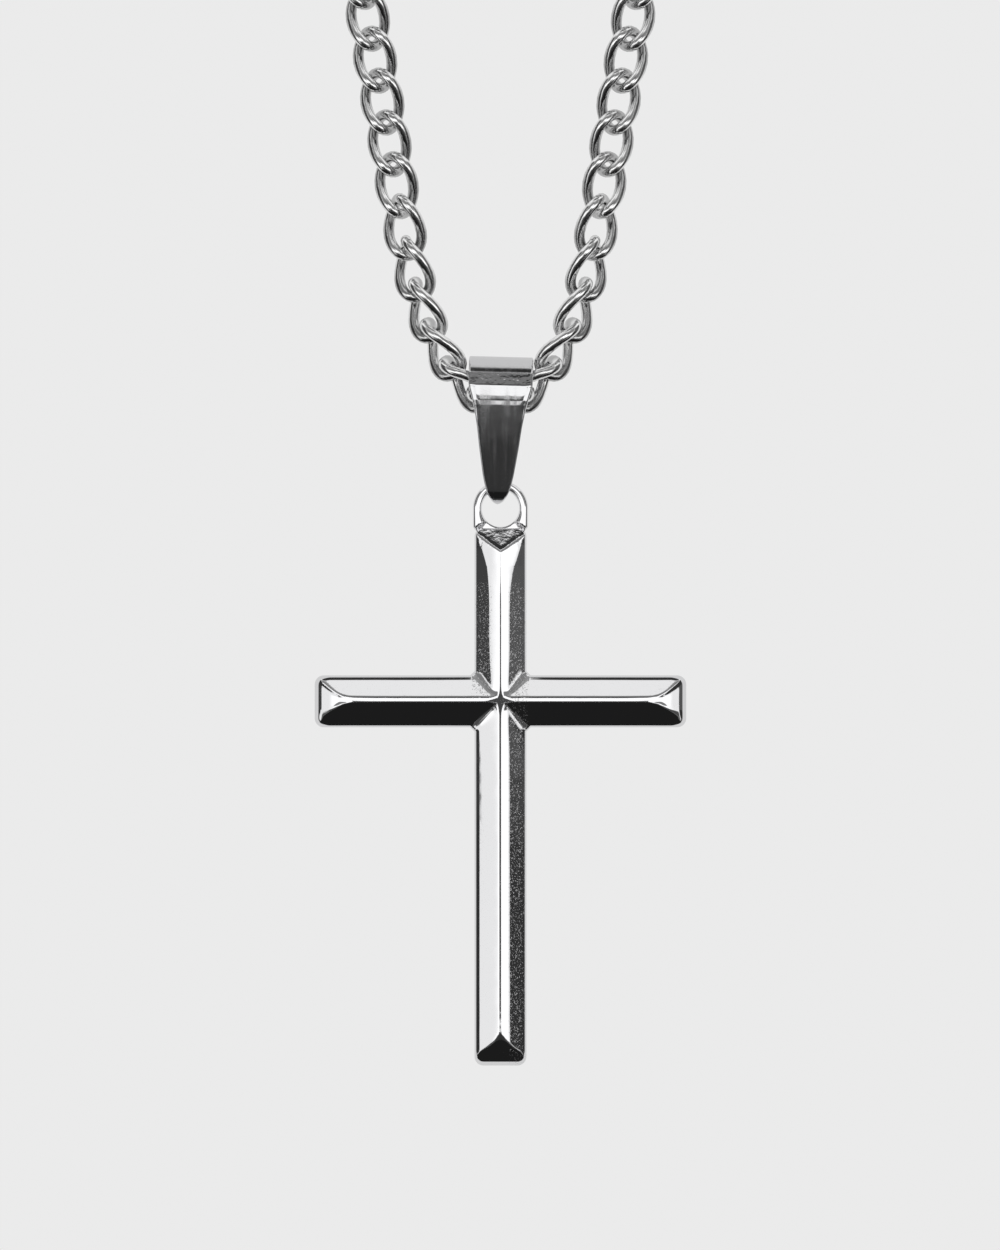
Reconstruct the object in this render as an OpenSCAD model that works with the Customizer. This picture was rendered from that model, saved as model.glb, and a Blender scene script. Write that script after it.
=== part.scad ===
// Cross pendant on a curb chain necklace, in polished steel.
// Millimetres, +Z up, the front of the cross faces -Y.
// The origin is the crown of the chain's loop, where the necklace hangs.

/* [Cross] */
// Span of the cross bar
cross_w = 30.8; // [24:0.1:40]
// Height of the upright, without the eye
cross_h = 44.6; // [38:0.1:56]
// Width of both bars
bar_w = 4.3; // [3.4:0.1:5.6]
// Top of the upright to the middle of the cross bar
upper_arm = 14.4; // [10:0.1:18]
// Height of the straight side walls
side_h = 1.5; // [1:0.1:2.4]
// Rise of the ridge above the side walls
roof_h = 1.2; // [0.6:0.1:2]
// Bulge of each sloping face
roof_bulge = 0.08; // [0.03:0.01:0.15]
// Length of the hips at the left, right and lower ends
hip_l = 2.7; // [2.2:0.1:3.4]
// Length of the hip under the eye
top_hip_l = 2; // [1.6:0.1:2.8]
// Radius of the corners at the ends of the bars
corner_r = 0.55; // [0.2:0.05:1]
// Depth of the small fill in each inner corner of the crossing
crotch = 0.25; // [0.1:0.05:0.6]

/* [Eye] */
// Diameter of the hole in the eye
eye_hole_d = 3.1; // [2.8:0.1:4]
// Width of the eye's rim
eye_rim = 0.73; // [0.6:0.01:1]
// Thickness of the eye, front to back
eye_t = 1.2; // [0.9:0.1:1.4]
// Bevel along the eye's edges
eye_bevel = 0.25; // [0.15:0.01:0.28]
// Metal between the hole and the top of the upright
eye_seat = 0.05; // [0.02:0.01:0.4]
// Middle of the eye in front of the flat back of the cross
eye_off_back = 1.1; // [0.7:0.05:1.6]

/* [Bail] */
// Width of the bail across its fold
bail_w = 5.35; // [4.6:0.05:5.6]
// Height of the bail
bail_l = 12.25; // [11:0.05:15]
// Thickness of the strip
bail_t = 0.45; // [0.4:0.05:0.6]
// Width of the tip that closes under the eye
bail_tip_w = 2; // [1.6:0.05:2.2]
// Play between the bail and the chain
chain_play = 0.5; // [0.4:0.05:0.6]
// Play between the bail and the eye
eye_play = 0.18; // [0.14:0.01:0.3]
// Sideways lean of the hanging bail
bail_lean = 1.5; // [0:0.5:2]

/* [Chain] */
// Width of the chain
chain_w = 3.66; // [3.5:0.02:3.9]
// Thickness of the wire
wire_d = 0.92; // [0.8:0.02:0.94]
// Length of one link, outside
link_l = 5.72; // [5.68:0.02:6]
// Slack between two links
link_play = 0.36; // [0.34:0.01:0.44]
// Twist of each end of a link out of its plane
link_twist = 55; // [52:1:58]
// Links in each straight strand
strand_links = 49; // [40:1:70]
// Links in each half of the crown's arc
crown_links = 15; // [12:1:18]

/* [Clasp] */
// Length of the clasp
clasp_l = 12; // [11:0.5:16]
// Width of the clasp's body
clasp_w = 5; // [4.6:0.1:6]
// Thickness of the clasp
clasp_t = 1.4; // [1:0.1:1.6]
// Width of the rim around the clasp's openings
clasp_rim = 0.9; // [0.7:0.05:1.1]
// Width of the small eye at the clasp's end
clasp_eye_w = 3.4; // [3.2:0.1:4]
// Centre-line diameter of the end rings
ring_d = 4.2; // [4:0.1:5]
// Thickness of the end rings' wire
ring_wire = 0.8; // [0.7:0.05:0.9]
// Play between an end ring and the clasp
ring_play = 0.3; // [0.28:0.02:0.4]
// Play between an end ring and the last link of the chain
ring_slack = 0.65; // [0.6:0.05:0.8]

/* [Hidden] */
STEEL = [0.78, 0.79, 0.80];
$fn = 64;

// Bends of the first links beside the bail, counted outwards: the heading above level,
// and the roll that turns the flat chain from edge-on at the bail to facing the front
HEADING = 0;
ROLL = 1;
first_bends = [
    [47, 62],
    [62, 60],
    [72, 52],
    [77, 38],
    [80, 19],
];
// The untwisted link inside the bail: its roll, and its place off the pins beside it
middle_roll = 118;
middle_at = [0, -0.19, 0.45];
// Axis of the bail's fold off the same pins: to the front, and up
fold_at = [-0.22, 0.66];

// Sections of a link, sides of its wire, and how square its oval is
LINK_SECTIONS = 10;
WIRE_SIDES = 5;
OVAL_POWER = 2.6;

pitch = link_l - 2 * wire_d - link_play;
oval_a = (link_l - wire_d) / 2;
oval_b = (chain_w - wire_d) / 2;

// The crown: ends of the chain, end rings and clasp lie in one line
ring_r = ring_d / 2;
clasp_eye_r = clasp_eye_w / 2;
ring_x = clasp_l / 2 - clasp_rim - ring_wire / 2 - ring_play + ring_r;
chain_end_x = ring_x + ring_r - ring_slack - (ring_wire - link_play) / 2;

// Headings of one strand's links for a given lean of its straight part
function headings(lean) = concat(
    [for (row = first_bends) row[HEADING]],
    [for (i = [1 : strand_links]) lean],
    [for (i = [1 : crown_links]) lean + (i - 0.5) * (180 - lean) / crown_links]);
function run_out(lean) = pitch / 2 + pitch * sum([for (h = headings(lean)) cos(h)]);
function sum(list, i = 0) = i < len(list) ? list[i] + sum(list, i + 1) : 0;
// Bisection: the lean at which both strands meet the end rings
function strand_lean(lo = 60, hi = 89, steps = 20) =
    let (mid = (lo + hi) / 2)
    steps == 0 ? mid
    : run_out(mid) > chain_end_x ? strand_lean(mid, hi, steps - 1) : strand_lean(lo, mid, steps - 1);
lean = strand_lean();
bends = headings(lean);
rolls = concat([for (row = first_bends) row[ROLL]], [for (i = [1 : strand_links + crown_links]) 0]);
drop = pitch * sum([for (h = bends) sin(h)]);

// Places: fold of the bail, eye wire, hole in the eye, top and crossing of the cross
hang_y = fold_at[0];
bail_z = fold_at[1] - drop;
bail_ri = chain_w / 2 + chain_play;
bail_ro = bail_ri + bail_t;
eye_r = eye_hole_d / 2;
foot_half_w = bail_tip_w / 2 + (bail_l - 2 * bail_ro) * sin(bail_lean);
eye_sag = eye_r + eye_rim / 2 - sqrt(eye_r * eye_r - foot_half_w * foot_half_w);
foot_ri = norm([eye_sag, eye_t / 2 - eye_bevel]) + eye_play;
foot_ro = foot_ri + bail_t;
foot_drop = bail_l - bail_ro - foot_ro;
eye_wire_z = bail_z - foot_drop;
eye_z = eye_wire_z - eye_r - eye_rim / 2;
cross_top_z = eye_z - eye_r - eye_seat;
crossing_z = cross_top_z - upper_arm;
back_y = hang_y + eye_off_back;

// Front outline of the bail: shares of its height from the top, and of its half width
SHARE_DOWN = 0;
SHARE_WIDE = 1;
bail_outline = [
    [-0.02, 1.00],
    [0.19, 1.00],
    [0.27, 0.91],
    [0.36, 0.79],
    [0.61, 0.62],
    [0.80, 0.49],
];

// Angle between neighbouring points of the round tip
TIP_STEP = 12;

function unit(v) = v / norm(v);
function travel(heading) = [-cos(heading), 0, sin(heading)];
function inward(heading) = [sin(heading), 0, cos(heading)];
FRONT = [0, -1, 0];
// How far a cutting shape reaches past what it cuts
LAP = 1;

// Point of the oval at angle t: along the link, and across it
function power_of(x) = sign(x) * pow(abs(x), 2 / OVAL_POWER);
function oval(t) = [oval_a * power_of(cos(t)), oval_b * power_of(sin(t))];
// Centre line of a link: the oval, its ends twisted out of the plane
function link_line(t, twist) =
    let (p = oval(t), turn = twist * p[0] / oval_a)
    [p[0], p[1] * cos(turn), p[1] * sin(turn)];
// Wire around the centre line, in the link's own directions
function link_wire(twist) = [
    for (i = [0 : LINK_SECTIONS - 1])
        let (t = 360 * i / LINK_SECTIONS,
             p = link_line(t, twist),
             run = unit(link_line(t + 4, twist) - link_line(t - 4, twist)),
             out = unit(p - (p * run) * run),
             side = cross(run, out))
        for (j = [0 : WIRE_SIDES - 1])
            let (a = 360 * j / WIRE_SIDES)
            p + wire_d / 2 * (cos(a) * out + sin(a) * side)];
function placed(points, at, along, wide) =
    let (thick = cross(along, wide))
    [for (p = points) at + p[0] * along + p[1] * wide + p[2] * thick];
LINK_POINTS = LINK_SECTIONS * WIRE_SIDES;
function link_faces(first) = [
    for (i = [0 : LINK_SECTIONS - 1])
        for (j = [0 : WIRE_SIDES - 1])
            let (i2 = (i + 1) % LINK_SECTIONS,
                 j2 = (j + 1) % WIRE_SIDES,
                 a = first + i * WIRE_SIDES + j,
                 b = first + i2 * WIRE_SIDES + j,
                 c = first + i2 * WIRE_SIDES + j2,
                 d = first + i * WIRE_SIDES + j2)
            each [[a, b, c], [a, c, d]]];

// Pins between the links of the left strand, from the bail to the crown
pins = [for (k = 0, p = [-pitch / 2, 0, -drop];
             k <= len(bends);
             p = k < len(bends) ? p + pitch * travel(bends[k]) : p, k = k + 1) p];
strand_points = [
    for (k = [0 : len(bends) - 1])
        let (h = bends[k],
             r = rolls[k],
             at = pins[k] + pitch / 2 * travel(h),
             wide = cos(r) * inward(h) + sin(r) * FRONT)
        each placed(link_wire(-link_twist), at, travel(h), wide)];
middle_points = placed(
    link_wire(0),
    [0, 0, -drop] + middle_at,
    [1, 0, 0],
    [0, -sin(middle_roll), cos(middle_roll)]);

// Both sloping faces of a roof meet at the ridge; each is an arc with a slight bulge
slope_l = norm([bar_w / 2, roof_h]);
slope_r = slope_l * slope_l / (8 * roof_bulge) + roof_bulge / 2;
slope_out = [roof_h, bar_w / 2] / slope_l;
slope_mid = [bar_w / 4, side_h + roof_h / 2];
slope_centre = slope_mid - (slope_r - roof_bulge) * slope_out;
roof_top = side_h + roof_h;

// Half plane under the sloping face on the right, as a large disc
module under_slope() {
    translate(slope_centre)
        circle(r = slope_r, $fn = 180);
}

// Section across a bar, standing on its flat back
module bar_section() {
    intersection() {
        translate([-bar_w / 2 - LAP, 0])
            square([bar_w + 2 * LAP, roof_top + LAP]);
        under_slope();
        mirror([1, 0])
            under_slope();
    }
}

// Side view of a bar, from its middle to the hip at its end; the hip is the slope, stretched
module hip_side(half_l, hip) {
    translate([0, -LAP])
        square([half_l - hip - LAP, roof_top + 2 * LAP]);
    translate([half_l - hip, 0])
        intersection() {
            translate([-LAP, -LAP])
                square([hip + 2 * LAP, roof_top + 2 * LAP]);
            scale([2 * hip / bar_w, 1])
                under_slope();
        }
}

// One bar along X with hipped ends, flat back at y = 0, front towards -Y
module bar(left_l, right_l, left_hip, right_hip) {
    intersection() {
        rotate([90, 0, 90])
            translate([0, 0, -left_l - LAP])
                linear_extrude(left_l + right_l + 2 * LAP)
                    rotate(90)
                        bar_section();
        rotate([180, 0, 0])
            translate([0, 0, -bar_w])
                linear_extrude(2 * bar_w) {
                    hip_side(right_l, right_hip);
                    mirror([1, 0])
                        hip_side(left_l, left_hip);
                }
    }
}

// A strip with rounded ends, as a bar's outline
module rounded_bar(left_l, right_l) {
    translate([-left_l + corner_r, -bar_w / 2])
        square([left_l + right_l - 2 * corner_r, bar_w]);
    translate([-left_l, -bar_w / 2 + corner_r])
        square([left_l + right_l, bar_w - 2 * corner_r]);
    for (x = [-left_l + corner_r, right_l - corner_r])
        for (z = [-1, 1])
            translate([x, z * (bar_w / 2 - corner_r)])
                circle(r = corner_r);
}

module trimmed_bar(left_l, right_l, left_hip, right_hip) {
    intersection() {
        bar(left_l, right_l, left_hip, right_hip);
        rotate([90, 0, 0])
            translate([0, 0, -LAP])
                linear_extrude(roof_top + 2 * LAP)
                    rounded_bar(left_l, right_l);
    }
}

// Section of the eye's rim, its four edges bevelled
module rim_section() {
    r1 = eye_r;
    r2 = eye_r + eye_rim;
    h = eye_t / 2;
    b = eye_bevel;
    polygon([
        [r1, b - h],
        [r1 + b, -h],
        [r2 - b, -h],
        [r2, b - h],
        [r2, h - b],
        [r2 - b, h],
        [r1 + b, h],
        [r1, h - b],
    ]);
}

// The ring, and the short legs that carry it down into the upright
module eye() {
    legs_h = eye_r + eye_seat + bar_w / 4;
    rotate([90, 0, 0]) {
        rotate_extrude()
            rim_section();
        linear_extrude(eye_t - eye_bevel, center = true)
            difference() {
                translate([-bar_w / 2, -legs_h])
                    square([bar_w, legs_h]);
                circle(r = eye_r + eye_rim / 2);
            }
    }
}

module cross_body() {
    lower_arm = cross_h - upper_arm;
    crotch_side = bar_w * sqrt(2) + crotch * 2;
    trimmed_bar(cross_w / 2, cross_w / 2, hip_l, hip_l);
    rotate([0, 90, 0])
        trimmed_bar(upper_arm, lower_arm, top_hip_l, hip_l);
    translate([0, -side_h, 0])
        rotate([-90, 45, 0])
            linear_extrude(side_h)
                square(crotch_side, center = true);
}

module cross_pendant() {
    color(STEEL) {
        translate([0, back_y, crossing_z])
            cross_body();
        translate([0, hang_y, eye_z])
            eye();
    }
}

// Side view of the folded strip: two circles and the tangents between them
module fold(r1, r2) {
    rise = (r1 - r2) / foot_drop;
    reach = sqrt(1 - rise * rise);
    circle(r = r1);
    translate([0, -foot_drop])
        circle(r = r2);
    polygon([
        [r1 * reach, r1 * rise],
        [-r1 * reach, r1 * rise],
        [-r2 * reach, r2 * rise - foot_drop],
        [r2 * reach, r2 * rise - foot_drop],
    ]);
}

// Front view of the strip, with a round tip
module bail_front() {
    tip_r = bail_tip_w / 2;
    tip_z = bail_ro - bail_l + tip_r;
    down = [for (row = bail_outline) bail_ro - row[SHARE_DOWN] * bail_l];
    wide = [for (row = bail_outline) row[SHARE_WIDE] * bail_w / 2];
    last = len(bail_outline) - 1;
    polygon(concat(
        [for (i = [0 : last]) [wide[i], down[i]]],
        [for (a = [0 : -TIP_STEP : -180]) [tip_r * cos(a), tip_z + tip_r * sin(a)]],
        [for (i = [last : -1 : 0]) [-wide[i], down[i]]]));
}

module bail() {
    color(STEEL)
        translate([0, hang_y, bail_z])
            rotate([0, bail_lean, 0])
                intersection() {
                    rotate([90, 0, 90])
                        translate([0, 0, -bail_w])
                            linear_extrude(2 * bail_w)
                                difference() {
                                    fold(bail_ro, foot_ro);
                                    fold(bail_ri, foot_ri);
                                }
                    rotate([90, 0, 0])
                        translate([0, 0, -bail_w])
                            linear_extrude(2 * bail_w)
                                bail_front();
                }
}

module chain_left() {
    points = concat(middle_points, strand_points);
    faces = [for (k = [0 : len(points) / LINK_POINTS - 1]) each link_faces(k * LINK_POINTS)];
    color(STEEL)
        polyhedron(points, faces, convexity = 10);
}

module chain_right() {
    points = [for (p = strand_points) [-p[0], p[1], p[2]]];
    faces = [
        for (k = [0 : len(points) / LINK_POINTS - 1])
            for (f = link_faces(k * LINK_POINTS))
                [f[2], f[1], f[0]]];
    color(STEEL)
        polyhedron(points, faces, convexity = 10);
}

// A closed ring lying level, its axis along Z
module end_ring(x) {
    color(STEEL)
        translate([x, 0, 0])
            rotate_extrude()
                translate([ring_r, 0])
                    circle(d = ring_wire, $fn = 32);
}

module ring_left() {
    end_ring(-ring_x);
}

module ring_right() {
    end_ring(ring_x);
}

// Flat oval of the given length and width between two round ends
module oval_plate(x1, x2, r) {
    for (x = [x1 + r, x2 - r])
        translate([x, 0])
            circle(r = r);
    translate([x1 + r, -r])
        square([x2 - x1 - 2 * r, 2 * r]);
}

module clasp() {
    eye_x = clasp_l / 2 - clasp_eye_r;
    body_end = eye_x - clasp_eye_r + clasp_rim - ring_play;
    neck_x = body_end - clasp_w / 2;
    neck_w = clasp_w / 2;
    color(STEEL)
        rotate([90, 0, 0])
            linear_extrude(clasp_t, center = true)
                difference() {
                    union() {
                        oval_plate(-clasp_l / 2, body_end, clasp_w / 2);
                        translate([eye_x, 0])
                            circle(r = clasp_eye_r);
                        translate([neck_x, -neck_w / 2])
                            square([eye_x - neck_x, neck_w]);
                    }
                    oval_plate(-clasp_l / 2 + clasp_rim, body_end - 2 * clasp_rim,
                               clasp_w / 2 - clasp_rim);
                    translate([eye_x, 0])
                        circle(r = clasp_eye_r - clasp_rim);
                }
}

cross_pendant();  // cross
bail();
chain_left();
chain_right();
ring_left();
ring_right();
clasp();
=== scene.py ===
"""Looks of the cross pendant on its curb chain, in polished steel.

Every new shape is a surface of two parameters worked out in millimetres with numpy,
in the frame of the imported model: +Z up, the front of the cross towards -Y.
"""
import math

import bmesh
import bpy
import numpy as np
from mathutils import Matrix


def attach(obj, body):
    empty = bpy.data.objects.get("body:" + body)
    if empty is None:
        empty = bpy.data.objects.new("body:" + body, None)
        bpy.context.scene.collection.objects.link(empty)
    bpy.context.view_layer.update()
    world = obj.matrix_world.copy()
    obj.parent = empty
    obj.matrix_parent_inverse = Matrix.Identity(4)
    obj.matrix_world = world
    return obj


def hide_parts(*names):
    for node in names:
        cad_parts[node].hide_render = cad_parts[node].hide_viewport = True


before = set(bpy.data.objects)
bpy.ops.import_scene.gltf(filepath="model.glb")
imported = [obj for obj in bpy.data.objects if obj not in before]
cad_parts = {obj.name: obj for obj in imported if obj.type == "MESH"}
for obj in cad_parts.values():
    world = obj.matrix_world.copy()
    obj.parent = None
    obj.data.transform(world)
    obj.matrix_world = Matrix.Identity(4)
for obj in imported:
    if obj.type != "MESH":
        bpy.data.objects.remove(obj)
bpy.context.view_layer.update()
MM = 0.001

# Sizes and places repeated from the part's source, in millimetres
CROSS_W, CROSS_H, BAR_W, UPPER_ARM = 30.8, 44.6, 4.3, 14.4
SIDE_H, ROOF_H, CROTCH = 1.5, 1.2, 0.25
EYE_HOLE_R, EYE_RIM, EYE_T, EYE_SEAT, EYE_OFF_BACK = 1.55, 0.73, 1.2, 0.05, 1.1
BAIL_L, BAIL_T, BAIL_LEAN = 12.25, 0.45, 1.5
BAIL_RO, FOOT_RO, FOOT_DROP = 2.78, 1.59964, 7.87036
WIRE_D, LINK_L, LINK_PLAY, CHAIN_W, LINK_TWIST = 0.92, 5.72, 0.36, 3.66, 55.0
OVAL_POWER = 2.6
PITCH = LINK_L - 2 * WIRE_D - LINK_PLAY
FIRST_BENDS = np.array([[47, 62], [62, 60], [72, 52], [77, 38], [80, 19]], float)
STRAND_LINKS, CROWN_LINKS = 49, 15
CHAIN_END_X = 7.73
MIDDLE_ROLL, MIDDLE_AT, FOLD_AT = 118.0, np.array([0, -0.19, 0.45]), (-0.22, 0.66)
RING_R, RING_WIRE, RING_X = 2.1, 0.8, 6.5


def headings(lean):
    """Heading above level of each link of a strand: first bends, straight part, crown."""
    crown = lean + (np.arange(CROWN_LINKS) + 0.5) * (180 - lean) / CROWN_LINKS
    return np.concatenate([FIRST_BENDS[:, 0], np.full(STRAND_LINKS, lean), crown])


def strand_lean():
    """Bisection for the lean at which the strand ends at the end ring."""
    lo, hi = 60.0, 89.0
    for _ in range(40):
        mid = (lo + hi) / 2
        reach = PITCH / 2 + PITCH * np.cos(np.radians(headings(mid))).sum()
        lo, hi = (mid, hi) if reach > CHAIN_END_X else (lo, mid)
    return (lo + hi) / 2


HEAD = np.radians(headings(strand_lean()))
ROLL = np.radians(np.concatenate([FIRST_BENDS[:, 1], np.zeros(STRAND_LINKS + CROWN_LINKS)]))
DROP = PITCH * np.sin(HEAD).sum()
HANG_Y = FOLD_AT[0]
BAIL_Z = FOLD_AT[1] - DROP
EYE_WIRE_Z = BAIL_Z - FOOT_DROP
EYE_Z = EYE_WIRE_Z - EYE_HOLE_R - EYE_RIM / 2
CROSS_TOP_Z = EYE_Z - EYE_HOLE_R - EYE_SEAT
CROSSING_Z = CROSS_TOP_Z - UPPER_ARM
BACK_Y = HANG_Y + EYE_OFF_BACK


def unit(v):
    """Vectors divided by their lengths."""
    return v / np.linalg.norm(v, axis=-1, keepdims=True)


def grid_faces(rows, cols, close_rows=False, close_cols=False):
    """Quads of a rows by cols grid of points, closed round either way if asked."""
    r = np.arange(rows if close_rows else rows - 1)
    c = np.arange(cols if close_cols else cols - 1)
    r, c = np.meshgrid(r, c, indexing="ij")
    r2, c2 = (r + 1) % rows, (c + 1) % cols
    return np.stack([r * cols + c, r2 * cols + c, r2 * cols + c2, r * cols + c2], -1).reshape(-1, 4)


def welded(points, faces):
    """Points that coincide become one, and faces lose the corners, or vanish, where that happened."""
    _, first, same = np.unique(np.round(points, 5), axis=0, return_index=True, return_inverse=True)
    faces = same.reshape(-1)[faces]
    new = faces != np.roll(faces, 1, 1)
    whole = faces[new.sum(1) == 4]
    whole = whole[(whole[:, 0] != whole[:, 2]) & (whole[:, 1] != whole[:, 3])]
    three = new.sum(1) == 3
    return points[first], whole, faces[three][new[three]].reshape(-1, 3)


def piece(name, points, faces, body, nodes, slot, material):
    """A mesh from points in millimetres: doubles merged, faces turned outwards, shaded smooth."""
    points, quads, triangles = welded(np.asarray(points, float), np.asarray(faces))
    mesh = bpy.data.meshes.new(name)
    mesh.from_pydata((points * MM).tolist(), [], quads.tolist() + triangles.tolist())
    bm = bmesh.new()
    bm.from_mesh(mesh)
    bmesh.ops.recalc_face_normals(bm, faces=bm.faces)
    bm.to_mesh(mesh)
    bm.free()
    mesh.polygons.foreach_set("use_smooth", np.ones(len(mesh.polygons), bool))
    obj = bpy.data.objects.new(name, mesh)
    bpy.context.scene.collection.objects.link(obj)
    mesh.materials.append(material)
    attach(obj, body)
    for node in nodes:
        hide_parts(node)
    return obj


# Materials


class Steel:
    """Node helper for one steel finish on Object coordinates."""

    def __init__(self, name, base, roughness):
        self.material = bpy.data.materials.new(name)
        self.material.use_nodes = True
        self.tree = self.material.node_tree
        self.shader = self.tree.nodes["Principled BSDF"]
        self.shader.inputs["Metallic"].default_value = 1.0
        self.shader.inputs["Base Color"].default_value = (*base, 1)
        self.shader.inputs["Roughness"].default_value = roughness
        self.place = self.tree.nodes.new("ShaderNodeTexCoord").outputs["Object"]

    def node(self, kind, **values):
        """A node with its sockets and options set by name."""
        made = self.tree.nodes.new(kind)
        for key, value in values.items():
            if key in made.inputs:
                made.inputs[key].default_value = value
            else:
                setattr(made, key, value)
        return made

    def link(self, a, b):
        self.tree.links.new(a, b)

    def noise(self, scale, detail=2.0, stretch=(1, 1, 1)):
        """Noise on the object's own places, its grain per metre multiplied by stretch."""
        mapping = self.node("ShaderNodeMapping")
        mapping.inputs["Scale"].default_value = stretch
        self.link(self.place, mapping.inputs["Vector"])
        made = self.node("ShaderNodeTexNoise", Scale=scale, Detail=detail)
        self.link(mapping.outputs["Vector"], made.inputs["Vector"])
        return made.outputs["Fac"]

    def ramp(self, value, low, high, out_low=0.0, out_high=1.0):
        """Smooth step from out_low to out_high as the value goes from low to high."""
        made = self.node("ShaderNodeMapRange")
        made.interpolation_type = "SMOOTHSTEP"
        for key, number in (("From Min", low), ("From Max", high), ("To Min", out_low), ("To Max", out_high)):
            made.inputs[key].default_value = number
        self.link(value, made.inputs["Value"])
        return made.outputs["Result"]

    def math(self, operation, *sources):
        """A math node on sockets and plain numbers."""
        made = self.node("ShaderNodeMath", operation=operation)
        for socket, source in zip(made.inputs, sources):
            if isinstance(source, (int, float)):
                socket.default_value = source
            else:
                self.link(source, socket)
        return made.outputs[0]

    def axes(self):
        """Places along X, Y and Z, in metres."""
        split = self.node("ShaderNodeSeparateXYZ")
        self.link(self.place, split.inputs[0])
        return split.outputs

    def level_band(self, low, high, soft, strength):
        """Strength between two heights given in millimetres, none outside them."""
        z = self.axes()[2]
        above = self.ramp(z, (low - soft) * MM, (low + soft) * MM)
        below = self.ramp(z, (high - soft) * MM, (high + soft) * MM, strength, 0)
        return self.math("MULTIPLY", above, below)

    def bump(self, height, strength, distance, where=None):
        """One more bump over those before it; where, if given, takes the strength's place."""
        made = self.node("ShaderNodeBump", Strength=strength, Distance=distance)
        self.link(height, made.inputs["Height"])
        if where is not None:
            self.link(where, made.inputs["Strength"])
        current = self.shader.inputs["Normal"]
        if current.is_linked:
            self.link(current.links[0].from_socket, made.inputs["Normal"])
        self.link(made.outputs["Normal"], current)


def cast_steel():
    """Mirror polish over a casting: slow ripple, an uneven top hip, and pits along the outer faces."""
    steel = Steel("polished_cast_steel", (0.92, 0.92, 0.93), 0.05)
    steel.bump(steel.noise(260, 2), 0.06, 0.6 * MM)
    top_hip = steel.level_band(CROSSING_Z + 12.8, CROSSING_Z + UPPER_ARM, 0.3, 0.4)
    steel.bump(steel.noise(1500, 3), 0.2, 0.1 * MM, top_hip)
    x, _, z = steel.axes()
    apart = steel.math("ABSOLUTE", x)
    right = steel.ramp(x, -0.1 * MM, 0.1 * MM)
    above_crossing = steel.ramp(z, CROSSING_Z * MM, (CROSSING_Z + 0.4) * MM)
    below_flare = steel.ramp(z, (CROSSING_Z + 9.2) * MM, (CROSSING_Z + 10.5) * MM, 1, 0)
    off_ridge = steel.ramp(apart, 0.5 * MM, 0.9 * MM)
    on_upright = steel.ramp(apart, 2.1 * MM, 2.5 * MM, 1, 0)
    faces = steel.math("MULTIPLY", off_ridge, on_upright)
    faces = steel.math("MULTIPLY", steel.math("MAXIMUM", right, above_crossing), faces)
    faces = steel.math("MULTIPLY", faces, below_flare)
    pits = steel.ramp(steel.noise(7500, 2), 0.5, 0.7)
    rough = steel.math("MULTIPLY_ADD", pits, steel.ramp(faces, 0, 1, 0.08, 0.43), 0.04)
    steel.link(rough, steel.shader.inputs["Roughness"])
    return steel.material


def strip_steel():
    """Rolled strip: fine upright polishing lines, and an uneven patch under the fold."""
    steel = Steel("polished_strip_steel", (0.80, 0.80, 0.81), 0.1)
    under_fold = steel.level_band(BAIL_Z + 0.5, BAIL_Z + 1.35, 0.1, 0.9)
    steel.bump(steel.noise(1000, 3, (0.7, 1, 1.2)), 0.2, 0.1 * MM, under_fold)
    steel.bump(steel.noise(300, 2), 0.05, 0.4 * MM)
    steel.bump(steel.noise(700, 4, (4, 1, 0.10)), 0.25, 0.06 * MM)
    rough = steel.ramp(steel.noise(900, 3, (3, 1, 0.15)), 0.35, 0.7, 0.07, 0.16)
    steel.link(rough, steel.shader.inputs["Roughness"])
    return steel.material


def wire_steel():
    """Drawn wire, tumbled bright; its colour is darker near the chain's middle plane, a painted shade where
    the links cross and crowd each other.
    """
    steel = Steel("wire_steel_painted_shade", (0.95, 0.95, 0.95), 0.16)
    steel.bump(steel.noise(700, 2), 0.15, 0.1 * MM)
    rough = steel.ramp(steel.noise(800, 3), 0.35, 0.7, 0.12, 0.22)
    steel.link(rough, steel.shader.inputs["Roughness"])
    # Painted shade: the base colour darkens towards the middle plane, y = 0, standing in for the shade
    # between crossing links; rings and clasp share it
    apart = steel.math("ABSOLUTE", steel.axes()[1])
    steel.link(steel.ramp(apart, 0.2 * MM, 0.9 * MM, 0.58, 1.0), steel.shader.inputs["Base Color"])
    return steel.material


# The cross: a height over its plan, one fan-shaped grid for each of the four arms

# Radius of its rounded ends, wider than the solid's, and of its back edges
CORNER_R, BACK_RIM = 0.75, 0.15
# Rounded front rim: width, how much wider it is at the ends, depth; then slope and width of its ledge
RIM_W, END_RIM_EXTRA, RIM_DEPTH, LEDGE_SLOPE, LEDGE_W = 0.14, 0.20, 0.3, 0.14, 0.24
# Slope of each sloping face by distance from its ridge
UPPER_LEFT = ((0, 0), (0.06, 0.07), (0.12, 0.42), (1.3, 0.50), (2.2, 0.50))
LOWER_LEFT = ((0, 0), (0.11, 0.07), (0.17, 0.45), (1.6, 0.55), (1.85, 0.68), (2.2, 0.72))
RIGHT = ((0, 0), (0.06, 0.07), (0.12, 0.33), (0.62, 0.45), (2.2, 0.46))
TOP = ((0, 0.02), (0.26, 0.22), (0.32, 0.28), (0.38, 0.34), (0.44, 0.52), (2.2, 0.61))
BOTTOM = ((0, 0), (0.05, 0.30), (0.1, 0.50), (2.2, 0.62))
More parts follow.
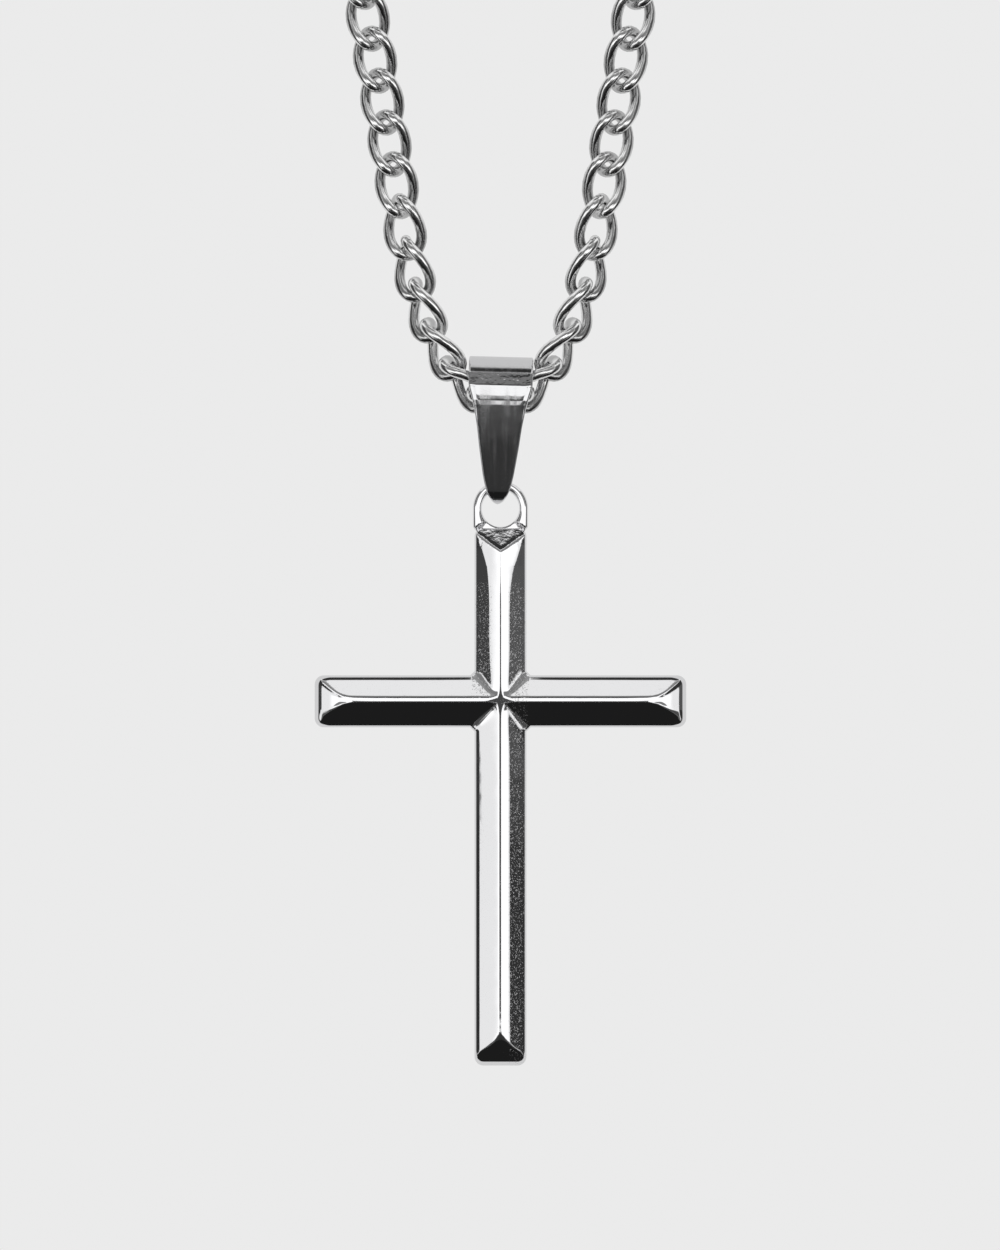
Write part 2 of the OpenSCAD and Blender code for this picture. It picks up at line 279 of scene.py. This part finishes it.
# Where the steeper outer faces of the upright begin: height above the crossing, distance from the ridge
LEFT_BREAK = ((0, 0.5), (1, 0.68), (4, 0.92), (9, 0.95), (10.8, 1.1), (11.7, 1.33), (12.9, 1.68), (14.4, 2.2))
RIGHT_BREAK = ((-40, 0.8), (-5, 0.74), (-1, 0.6), (0, 0.45), (1, 0.6), (4, 0.72), (9, 0.75), (10.8, 1.0),
               (11.7, 1.3), (12.9, 1.68), (14.4, 2.2))
# How much steeper they are, left and right
LEFT_STEEPER, RIGHT_STEEPER = 0.21, 0.16
# Hollow along the lower arm: distance below the crossing, depth
HOLLOW = ((2, 0), (17, 0.075), (19, 0.075), (29, 0))
# Worn top of the crossing
WORN_DEPTH, WORN_R = 0.4, 0.5
HALF = BAR_W / 2
FLARE = CROTCH * math.sqrt(2)
# Grid lines of an arm's plan, by distance from the border and from the ridge
FINE_BAND = 0.45
BORDER_STEPS = FINE_BAND * np.linspace(0, 1, 15) ** 1.3
RIDGE_STEPS = np.concatenate([
    np.arange(0, 0.16, 0.03), [0.2, 0.28, 0.34], np.linspace(0.4, 1, 7), [1.12, 1.25, 1.4, 1.55],
])


def drop(rows, distance):
    """Depth below the ridge at a distance from it: the slopes of the rows, added up."""
    d = np.linspace(0, 40, 16001)
    slope = np.interp(d, *np.array(rows).T)
    depth = np.concatenate([[0], np.cumsum((slope[1:] + slope[:-1]) / 2 * np.diff(d))])
    return np.interp(distance, d, depth)


def break_drop(rows, height, distance, steeper):
    """Extra depth past the break of the upright's side, which wanders with the height."""
    past, softness = distance - np.interp(height, *np.array(rows).T), 0.06
    return steeper * (past + np.sqrt(past**2 + softness**2)) / 2


def smooth_min(a, b, width):
    """The lesser of two surfaces, rounded where they meet: mean less half of their softened difference."""
    return (a + b - np.sqrt((a - b) ** 2 + width * width)) / 2


def ease(v):
    """Smooth step from 0 to 1: three squares less two cubes."""
    v = np.clip(v, 0, 1)
    return v * v * (3 - 2 * v)


def rim_drop(inside, wide, ledge):
    """Drop of the rounded rim: a narrow, steeper ledge, then a slope that turns into the wall."""
    share = np.clip(1 - inside / wide, 0, 1)
    outer = wide * share + RIM_DEPTH * (1 - np.sqrt(1 - share**2))
    return ledge * np.clip(wide + LEDGE_W - inside, 0, LEDGE_W) + outer


def arm_plan(length):
    """Plan of one arm as u, along from the crossing, and w, across; both on one grid.

    Near the crossing the grid is a fan between the two valleys, w = u times a share.
    """
    fan_end = HALF + FLARE / 2
    fan = fan_end * np.linspace(0, 1, 36) ** 1.25
    flare = np.linspace(fan_end, HALF + FLARE, 5)[1:]
    straight = np.linspace(HALF + FLARE, length - SIDE_HIP_L, max(5, int(length / 1.2)))[1:]
    hip = np.linspace(length - SIDE_HIP_L, length - FINE_BAND, 34)[1:]
    tip = length - BORDER_STEPS[::-1][1:]
    u = np.concatenate([fan, flare, straight, hip, tip])
    share = np.concatenate([RIDGE_STEPS, HALF - BORDER_STEPS[::-1]]) / HALF
    share = np.concatenate([-share[:0:-1], share])
    past = np.clip(CORNER_R - (length - u), 0, CORNER_R)
    w_max = HALF - (CORNER_R - np.sqrt(CORNER_R**2 - past**2))
    w_max = np.where(u < HALF + FLARE, HALF + np.maximum(0, FLARE - np.maximum(u - HALF, 0)), w_max)
    w_max = np.minimum(w_max, u)
    return np.broadcast_to(u[:, None], (len(u), len(share))), w_max[:, None] * share[None, :]


# Lengths of the hips, and the slope of each by distance past its apex
TOP_HIP_L, SIDE_HIP_L, LOW_HIP_L = 1.95, 3.2, 2.6
TOP_HIP = ((0, 0.646), (2, 0.646))
SIDE_HIP = ((0, 0.085), (0.6, 0.12), (1.0, 0.22), (1.6, 0.38), (2.2, 0.48), (3.2, 0.5))
LOW_HIP = ((0, 0.3), (0.5, 0.3), (0.7, 0.6), (1.0, 0.6), (1.15, 0.88), (1.5, 0.88), (1.7, 0.4), (3, 0.4))
# Hips: direction, distance of the end from the crossing, length, slopes
HIPS = ((0, 1, UPPER_ARM, TOP_HIP_L, TOP_HIP), (1, 0, CROSS_W / 2, SIDE_HIP_L, SIDE_HIP),
        (-1, 0, CROSS_W / 2, SIDE_HIP_L, SIDE_HIP), (0, -1, CROSS_H - UPPER_ARM, LOW_HIP_L, LOW_HIP))
# Steeper line on a hip just past the edge where it meets the long faces: extra slope, and how deep it goes
TOP_LINE, SIDE_LINE = (0.16, 0.26), (0.75, 0.16)


def steeper_line(below_face, row):
    """Extra depth of a hip close under the faces beside it."""
    extra, reach = row
    return extra * np.clip(below_face, 0, reach)


def front_height(x, z):
    """Height of the front over the plan: upright and level ridges, their valleys, and the hips."""
    across, along, ridge = abs(x), abs(z), SIDE_H + ROOF_H
    up = ease((z + 0.4) / 0.8)
    # The upright's ridge grows sharper towards the top
    sharp = 0.1 * ease((z - 8.5) / 4)
    upper_left = drop(UPPER_LEFT, across + sharp) - drop(UPPER_LEFT, sharp)
    upper_left += break_drop(LEFT_BREAK, z, across, LEFT_STEEPER)
    left = up * upper_left + (1 - up) * drop(LOWER_LEFT, across)
    right = drop(RIGHT, across + sharp) - drop(RIGHT, sharp)
    right += break_drop(RIGHT_BREAK, z, across, RIGHT_STEEPER)
    upright = np.where(x < 0, left, right)
    level = np.where(z > 0, drop(TOP, along), drop(BOTTOM, along))
    outwards = np.clip(np.minimum(across, along) / HALF, 0, 1.2)
    depth = smooth_min(upright, level, 0.012 + 0.36 * outwards)
    worn = WORN_DEPTH * np.exp(-(x * x + z * z) / WORN_R**2)
    hollow = np.interp(-z, *np.array(HOLLOW).T)
    height = ridge - hollow - np.sqrt(np.maximum(depth, 0) ** 2 + worn**2) + worn
    for ax, az, reach, hip, slopes in HIPS:
        past = ax * x + az * z - (reach - hip)
        hip_height = ridge - drop(slopes, past) + slopes[0][1] * np.maximum(-past, 0)
        if az > 0:
            hip_height = hip_height - steeper_line(height - hip_height, TOP_LINE)
        if az == 0:
            hip_height = hip_height - steeper_line(height - hip_height, SIDE_LINE) * ease((z + 1.6) / 3)
        # The edges of the side hips are rounder below
        low_corner = ease((-z - 0.3) / 1.3) * ease((past - 0.3) / 1.2) * (az == 0)
        height = smooth_min(height, hip_height, 0.04 + 0.45 * low_corner)
    return height


def arm_heights(u, w, x, z, length):
    """Front height and back inset at each point of an arm, with the rims rounded off."""
    side = np.maximum(np.maximum(HALF - abs(w), HALF - u), (2 * HALF + FLARE - u - abs(w)) / math.sqrt(2))
    end = length - u
    corner = CORNER_R - np.hypot(CORNER_R - side, CORNER_R - end)
    inside = np.where((side < CORNER_R) & (end < CORNER_R), corner, np.minimum(side, end))
    inside = np.maximum(inside, 0)
    top = length == UPPER_ARM
    wide = RIM_W + END_RIM_EXTRA * ease(1.3 - end) * (not top)
    ledge = LEDGE_SLOPE * (1 - ease(1.5 - end) * top)
    left = np.clip(BACK_RIM - inside, 0, BACK_RIM)
    low = BACK_RIM - np.sqrt(np.maximum(BACK_RIM**2 - left**2, 0))
    return front_height(x, z) - rim_drop(inside, wide, ledge), low


def cross_shell():
    """Front and back sheets over the same plan, joined by a wall along their common border."""
    side, lower = CROSS_W / 2, CROSS_H - UPPER_ARM
    arms = ((side, (1, 0)), (UPPER_ARM, (0, 1)), (side, (-1, 0)), (lower, (0, -1)))
    front, back, faces, start = [], [], [], 0
    for length, (ax, az) in arms:
        u, w = arm_plan(length)
        x, z = ax * u - az * w, az * u + ax * w
        high, low = arm_heights(u, w, x, z, length)
        front.append(np.stack([x, BACK_Y - high, CROSSING_Z + z], -1).reshape(-1, 3))
        back.append(np.stack([x, BACK_Y - low, CROSSING_Z + z], -1).reshape(-1, 3))
        faces.append(grid_faces(*u.shape) + start)
        start += u.size
    front, back, faces = np.concatenate(front), np.concatenate(back), np.concatenate(faces)
    _, first, same = np.unique(np.round(front, 5), axis=0, return_index=True, return_inverse=True)
    same = same.reshape(-1)
    front, back, faces = front[first], back[first], same[faces]
    edges = np.concatenate([faces[:, [0, 1]], faces[:, [1, 2]], faces[:, [2, 3]], faces[:, [3, 0]]])
    edges = edges[edges[:, 0] != edges[:, 1]]
    _, where, count = np.unique(np.sort(edges, 1), axis=0, return_index=True, return_counts=True)
    border = edges[where[count == 1]]
    n = len(front)
    wall = np.stack([border[:, 1], border[:, 0], border[:, 0] + n, border[:, 1] + n], -1)
    return np.concatenate([front, back]), np.concatenate([faces, faces[:, ::-1] + n, wall])


# How far the legs of the eye ring reach below the hole's edge, and from its middle
EYE_LEG_DROP, EYE_LEG_REACH = 0.75, 2.75


def eye_shell():
    """Ring round the hole: polar grid, its section a squared oval; below, it widens into legs."""
    turns, steps = 240, 40
    leg_sink, lean = 0.8, 0.03
    turn = np.linspace(0, 2 * np.pi, turns + 1)[:-1]
    section = np.linspace(0, 2 * np.pi, steps + 1)[:-1]
    outer = EYE_HOLE_R + EYE_RIM
    down = np.maximum(-np.sin(turn), 0)
    upright_leg = outer / np.maximum(abs(np.cos(turn)), 1e-3)
    leg = np.minimum(upright_leg, (EYE_HOLE_R + EYE_LEG_DROP) / np.maximum(down, 1e-3))
    reach = np.where(down > 0, np.maximum(outer, np.minimum(leg, EYE_LEG_REACH)), outer)
    middle, half = (reach + EYE_HOLE_R) / 2, (reach - EYE_HOLE_R) / 2
    c, s = np.cos(section), np.sin(section)

    def squared(v):
        return np.sign(v) * abs(v) ** (2 / 3)

    radius = middle[:, None] + half[:, None] * squared(c)[None]
    x = radius * np.cos(turn)[:, None]
    z = radius * np.sin(turn)[:, None]
    sunk = np.where(s[None] < 0, 1 - leg_sink * ease((down[:, None] - 0.6) / 0.12), 1)
    y = EYE_T / 2 * squared(s)[None] * sunk + lean * z
    points = np.stack([x, HANG_Y + y, EYE_Z + z], -1).reshape(-1, 3)
    return points, grid_faces(turns, steps, True, True)


def join(*shells):
    """Several shells as one list of points and one of faces."""
    points, faces, start = [], [], 0
    for p, f in shells:
        points.append(p)
        faces.append(f + start)
        start += len(p)
    return np.concatenate(points), np.concatenate(faces)


# The bail: a strip carried round two circles and the tangents between them

# Outline: height over the fold's axis, half width
BAIL_OUTLINE = np.array([
    [2.8, 2.66], [0.42, 2.66], [0.07, 2.6], [-0.48, 2.43], [-1.63, 2.13], [-3.03, 1.88],
    [-4.72, 1.66], [-6.02, 1.46], [-7.03, 1.30], [-7.73, 1.15], [-8.23, 1.0], [-8.65, 0.84],
    [-9.0, 0.64], [-9.25, 0.42], [-9.4, 0.22], [-9.47, 0.0],
])


def bail_half_width(z):
    """Half width of the strip at a height above the fold's axis, from the outline's rows."""
    fine = np.linspace(BAIL_RO - BAIL_L, BAIL_RO, 700)
    wide = np.interp(fine, BAIL_OUTLINE[::-1, 0], BAIL_OUTLINE[::-1, 1])
    kernel = np.hanning(31)
    padded = np.pad(wide, 15, mode="edge")
    soft = np.convolve(padded, kernel / kernel.sum(), mode="valid")
    blend = np.clip((fine - fine[0]) / 0.8, 0, 1)
    return np.interp(z, fine, wide * (1 - blend) + soft * blend)


# Front leaf of the bail: height over the fold's axis, and how far its face looks up, in degrees
FRONT_LEAF = np.array([
    [1.50, 32.6], [1.42, 30.7], [1.39, 19.0], [0.42, 16.4], [0.27, 1.5], [-0.40, 0.5], [-0.48, -1.2],
    [-0.80, -1.5], [-0.86, -6.1], [-1.24, -6.7], [-1.30, -7.4], [-4.0, -8.2], [-8.11, -9.8],
])


def fold_line():
    """Middle line of the folded strip in side view, and its outward direction."""
    r1, r2 = BAIL_RO - BAIL_T / 2, FOOT_RO - BAIL_T / 2
    rise = math.asin((r1 - r2) / FOOT_DROP)
    begin, bend, end = FRONT_LEAF[0, 0], 1.3, FRONT_LEAF[-1, 0]
    height = np.concatenate([np.linspace(begin, bend, 40), np.linspace(bend, end, 200)[1:]])
    slope = np.tan(np.radians(np.interp(height, FRONT_LEAF[::-1, 0], FRONT_LEAF[::-1, 1])))

    def forward():
        """Outer face of the front leaf: the slopes added up, down from the fold's circle."""
        steps = (slope[1:] + slope[:-1]) / 2 * -np.diff(height)
        return -math.sqrt(BAIL_RO**2 - begin**2) - np.concatenate([[0], np.cumsum(steps)])

    def arc(angle, radius, z):
        return np.stack([radius * np.cos(angle), z + radius * np.sin(angle)], -1)

    below = height < -bend
    slope[below] += (forward()[-1] + FOOT_RO * math.cos(rise)) / np.ptp(height[below])
    depth, look = forward(), np.arctan(slope)
    leaf = np.stack([depth + BAIL_T / 2 * np.cos(look), height - BAIL_T / 2 * np.sin(look)], -1)
    upper = arc(np.linspace(-rise, np.pi - math.asin(begin / BAIL_RO), 90)[:-1], r1, 0)
    lower = arc(np.linspace(np.pi + rise, 2 * np.pi - rise, 70), r2, -FOOT_DROP)
    keep = lower[:, 1] < leaf[-1, 1] - 0.1
    up = lower[-1] + np.linspace(0, 1, 60)[1:-1, None] * (upper[0] - lower[-1])
    line = np.concatenate([upper, leaf, lower[keep], up])
    ahead = np.roll(line, -1, 0) - np.roll(line, 1, 0)
    return line, unit(np.stack([ahead[:, 1], -ahead[:, 0]], -1))


def bail_shell():
    """The strip along its fold: a rounded rectangle in section, as wide as the outline at its height."""
    line, out = fold_line()
    radius, half_t, count = 0.16, BAIL_T / 2, 25
    edge_w, turned_back = 0.5, 0.10
    across = np.linspace(-1, 1, count)
    arc = np.linspace(0, np.pi / 2, 7)
    flat = half_t - radius
    edge_in = radius * (1 - np.sin(np.concatenate([arc, arc[::-1]])))
    edge_deep = np.concatenate([flat + radius * np.cos(arc), -flat - radius * np.cos(arc[::-1])])
    side = np.ones(len(edge_in))
    share = np.concatenate([across, side, -across, -side])
    inset = np.concatenate([np.full(count, radius), edge_in, np.full(count, radius), edge_in])
    deep = np.concatenate([np.full(count, half_t), edge_deep, np.full(count, -half_t), -edge_deep])
    y = line[:, 0][:, None] + out[:, 0][:, None] * deep[None]
    z = line[:, 1][:, None] + out[:, 1][:, None] * deep[None]
    wide = bail_half_width(z)
    x = share[None] * np.maximum(wide - inset[None], 0)
    edge = np.clip((abs(x) - (wide - edge_w)) / edge_w, 0, 1) ** 2
    under_fold = ease((0.45 - z) / 0.3) * ease((z + 2.7) / 1.7)
    y = y + turned_back * edge * (y < -1) * under_fold
    lean = math.radians(BAIL_LEAN)
    x, z = x * math.cos(lean) + z * math.sin(lean), z * math.cos(lean) - x * math.sin(lean)
    return np.stack([x, y + HANG_Y, z + BAIL_Z], -1).reshape(-1, 3), grid_faces(*x.shape, True, True)


# The chain: one wire loop, placed at every link of a strand


def link_loop(twist, around=36, sides=14):
    """Wire round a squared oval whose ends are twisted out of its plane, as a closed tube."""
    a, b = (LINK_L - WIRE_D) / 2, (CHAIN_W - WIRE_D) / 2

    def line(t):
        c, s = np.cos(t), np.sin(t)
        u = a * np.sign(c) * abs(c) ** (2 / OVAL_POWER)
        w = b * np.sign(s) * abs(s) ** (2 / OVAL_POWER)
        turn = math.radians(twist) * u / a
        return np.stack([u, w * np.cos(turn), w * np.sin(turn)], -1)

    t = np.linspace(0, 2 * np.pi, around + 1)[:-1]
    g = np.linspace(0, 2 * np.pi, sides + 1)[:-1]
    middle = line(t)
    run = unit(line(t + 0.05) - line(t - 0.05))
    out = unit(middle - (middle * run).sum(1, keepdims=True) * run)
    side = np.cross(run, out)
    wire = np.cos(g)[None, :, None] * out[:, None] + np.sin(g)[None, :, None] * side[:, None]
    return (middle[:, None] + WIRE_D / 2 * wire).reshape(-1, 3), grid_faces(around, sides, True, True)


def placed(points, at, along, wide):
    """Copies of a link's points in the frames given by along, wide and their cross product."""
    thick = np.cross(along, wide)
    frames = np.stack([along, wide, thick], -2)
    return at[:, None] + np.einsum("pk,nkc->npc", points, frames)


def strand(mirror):
    """All links of one strand, from the bail to the crown; the right one is the left one's mirror image."""
    points, faces = link_loop(-LINK_TWIST)
    along = np.stack([-np.cos(HEAD), 0 * HEAD, np.sin(HEAD)], -1)
    inward = np.stack([np.sin(HEAD), 0 * HEAD, np.cos(HEAD)], -1)
    wide = np.cos(ROLL)[:, None] * inward + np.sin(ROLL)[:, None] * np.array([0, -1, 0])
    before = np.concatenate([np.zeros((1, 3)), np.cumsum(along, 0)[:-1]])
    pins = np.array([-PITCH / 2, 0, -DROP]) + PITCH * before
    links = placed(points, pins + PITCH / 2 * along, along, wide)
    if mirror:
        links = links * np.array([-1, 1, 1])
    every = faces[None] + len(points) * np.arange(len(links))[:, None, None]
    return links.reshape(-1, 3), every.reshape(-1, 4)


def middle_link():
    """The untwisted link inside the bail."""
    points, faces = link_loop(0)
    roll = math.radians(MIDDLE_ROLL)
    wide = np.array([[0, -math.sin(roll), math.cos(roll)]])
    at = np.array([[0, 0, -DROP]]) + MIDDLE_AT
    return placed(points, at, np.array([[1.0, 0, 0]]), wide).reshape(-1, 3), faces


def ring_shell(x):
    """A torus lying level."""
    around, sides = 96, 24
    turn = np.linspace(0, 2 * np.pi, around + 1)[:-1]
    g = np.linspace(0, 2 * np.pi, sides + 1)[:-1]
    radius = RING_R + RING_WIRE / 2 * np.cos(g)[None]
    points = np.stack([
        x + radius * np.cos(turn)[:, None],
        radius * np.sin(turn)[:, None],
        np.broadcast_to(RING_WIRE / 2 * np.sin(g)[None], (around, sides)),
    ], -1)
    return points.reshape(-1, 3), grid_faces(around, sides, True, True)


cast, strip, wire = cast_steel(), strip_steel(), wire_steel()
piece("cross_casting", *join(cross_shell(), eye_shell()), "cross", ["cross"], "polished_steel", cast)
piece("bail_strip", *bail_shell(), "bail", ["bail"], "polished_steel", strip)
piece("curb_chain_left", *join(middle_link(), strand(False)), "necklace", ["chain_left"], "chain_steel", wire)
piece("curb_chain_right", *strand(True), "necklace", ["chain_right"], "chain_steel", wire)
piece("end_ring_left", *ring_shell(-RING_X), "necklace", ["ring_left"], "chain_steel", wire)
piece("end_ring_right", *ring_shell(RING_X), "necklace", ["ring_right"], "chain_steel", wire)
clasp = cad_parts["clasp"]
clasp.data.materials.clear()
clasp.data.materials.append(wire)


# Studio: pale floor, even light, and a dome of white and dark panels that only the steel mirrors


def pale_floor():
    """A level square far below the pendant."""
    half, z = 0.9, -0.36
    corners = [(-half, -half, z), (half, -half, z), (half, half, z), (-half, half, z)]
    mesh = bpy.data.meshes.new("floor")
    mesh.from_pydata(corners, [], [(0, 1, 2, 3)])
    floor = bpy.data.objects.new("floor", mesh)
    bpy.context.scene.collection.objects.link(floor)
    paint = bpy.data.materials.new("pale_floor")
    paint.use_nodes = True
    shader = paint.node_tree.nodes["Principled BSDF"]
    shader.inputs["Base Color"].default_value = (0.9, 0.9, 0.9, 1)
    shader.inputs["Roughness"].default_value = 0.9
    mesh.materials.append(paint)
    floor.visible_glossy = False


# Brightness of the dome where it has no panel
EVEN_LIGHT = 0.66
# Panels, each over the ones before it: azimuths, elevations, brightness, softness; angles in degrees
PANELS = (
    (-120, 120, 42, 64, 0.86, 1),
    (-75, 60, -36, 28, 0.86, 2),
    (-48, 50, -36, 28, 1.15, 3),
    (-40, 40, 37.5, 50, 0.2, 1),
    (11, 52, 40, 60, 0.28, 1.5),
    (-54, -11, 40, 60, 0.28, 1.5),
    (-40, 40, 26, 37.5, 0.04, 1),
    (14, 52, 10, 42, 0.2, 1.5),
    (-54, -14, 10, 42, 0.2, 1.5),
    (14, 52, -38, -12, 0.07, 2),
    (-49, -14, -38, -12, 0.07, 2),
    (-40, 40, 64.6, 84, 0.24, 1),
    (-75, 75, 67.5, 80, 0.03, 1),
    (56, 104, -10, 44, 0.09, 1),
    (56, 104, -50, -2.5, 0.03, 2),
    (-104, -64, -50, -1, 0.03, 1),
    (-104, -58.5, -2.5, 44, 0.05, 1),
    (-24, 24, -42, -7.6, 0.085, 0.5),
    (-24, 24, -42, -12, 0.035, 2),
    (-9, 9, -6.2, 3.5, 0.06, 0.5),
    (-120, 120, -90, -38, 0.012, 2),
)


def panel_dome():
    """A sphere round everything, seen only in mirror reflections, with soft-edged panels by direction."""
    mesh = bpy.data.meshes.new("panel_dome")
    bm = bmesh.new()
    bmesh.ops.create_uvsphere(bm, u_segments=96, v_segments=48, radius=0.3)
    bm.to_mesh(mesh)
    bm.free()
    dome = bpy.data.objects.new("panel_dome", mesh)
    dome.location = (0, 0, CROSSING_Z * MM)
    bpy.context.scene.collection.objects.link(dome)
    paint = bpy.data.materials.new("panels")
    paint.use_nodes = True
    tree = paint.node_tree
    tree.nodes.clear()

    def node(kind, *links, **options):
        made = tree.nodes.new(kind)
        for key, value in options.items():
            setattr(made, key, value)
        for socket, source in zip(made.inputs, links):
            if isinstance(source, (int, float)):
                socket.default_value = source
            else:
                tree.links.new(source, socket)
        return made.outputs[0]

    def math_node(operation, *links):
        return node("ShaderNodeMath", *links, operation=operation)

    place = tree.nodes.new("ShaderNodeTexCoord").outputs["Object"]
    way = node("ShaderNodeVectorMath", place, operation="NORMALIZE")
    split = tree.nodes.new("ShaderNodeSeparateXYZ")
    tree.links.new(way, split.inputs[0])
    x, y, z = split.outputs
    azimuth = math_node("MULTIPLY", math_node("ARCTAN2", x, math_node("MULTIPLY", y, -1.0)), 180 / math.pi)
    elevation = math_node("MULTIPLY", math_node("ARCSINE", z), 180 / math.pi)

    def step(value, edge, soft):
        ends = (edge - soft, edge + soft, 0.0, 1.0)
        return node("ShaderNodeMapRange", value, *ends, interpolation_type="SMOOTHSTEP")

    def between(value, low, high, soft):
        under = math_node("SUBTRACT", 1.0, step(value, high, soft))
        return math_node("MULTIPLY", step(value, low, soft), under)

    light = node("ShaderNodeValue")
    light.default_value = EVEN_LIGHT
    for a0, a1, e0, e1, level, soft in PANELS:
        wide, tall = between(azimuth, a0, a1, soft), between(elevation, e0, e1, soft)
        inside = math_node("MULTIPLY", wide, tall)
        keep = math_node("MULTIPLY", light, math_node("SUBTRACT", 1.0, inside))
        light = math_node("ADD", keep, math_node("MULTIPLY", inside, level))
    glow = tree.nodes.new("ShaderNodeEmission")
    tree.links.new(light, glow.inputs["Strength"])
    out = tree.nodes.new("ShaderNodeOutputMaterial")
    tree.links.new(glow.outputs[0], out.inputs["Surface"])
    mesh.materials.append(paint)
    dome.visible_camera = False
    dome.visible_diffuse = False
    dome.visible_transmission = False
    dome.visible_shadow = False


def camera():
    """A long lens straight in front; the frame is 103.57 mm high at the pendant."""
    data = bpy.data.cameras.new("camera")
    cam = bpy.data.objects.new("camera", data)
    bpy.context.scene.collection.objects.link(cam)
    distance, tall = 1.2, 0.10357
    aside, front, below_bail = -0.04, -0.8, 19.457
    cam.location = (aside * MM, front * MM - distance, (BAIL_Z - below_bail) * MM)
    cam.rotation_euler = (math.pi / 2, 0, 0)
    data.sensor_width = 36
    data.lens = 36 * distance / tall
    data.clip_start, data.clip_end = 0.05, 10
    bpy.context.scene.camera = cam


def studio():
    """World light, colours as they are, floor and dome."""
    world = bpy.data.worlds.new("studio")
    bpy.context.scene.world = world
    world.use_nodes = True
    world.node_tree.nodes["Background"].inputs["Color"].default_value = (1, 1, 1, 1)
    world.node_tree.nodes["Background"].inputs["Strength"].default_value = 0.83
    bpy.context.scene.view_settings.view_transform = "Standard"
    pale_floor()
    panel_dome()


studio()
camera()
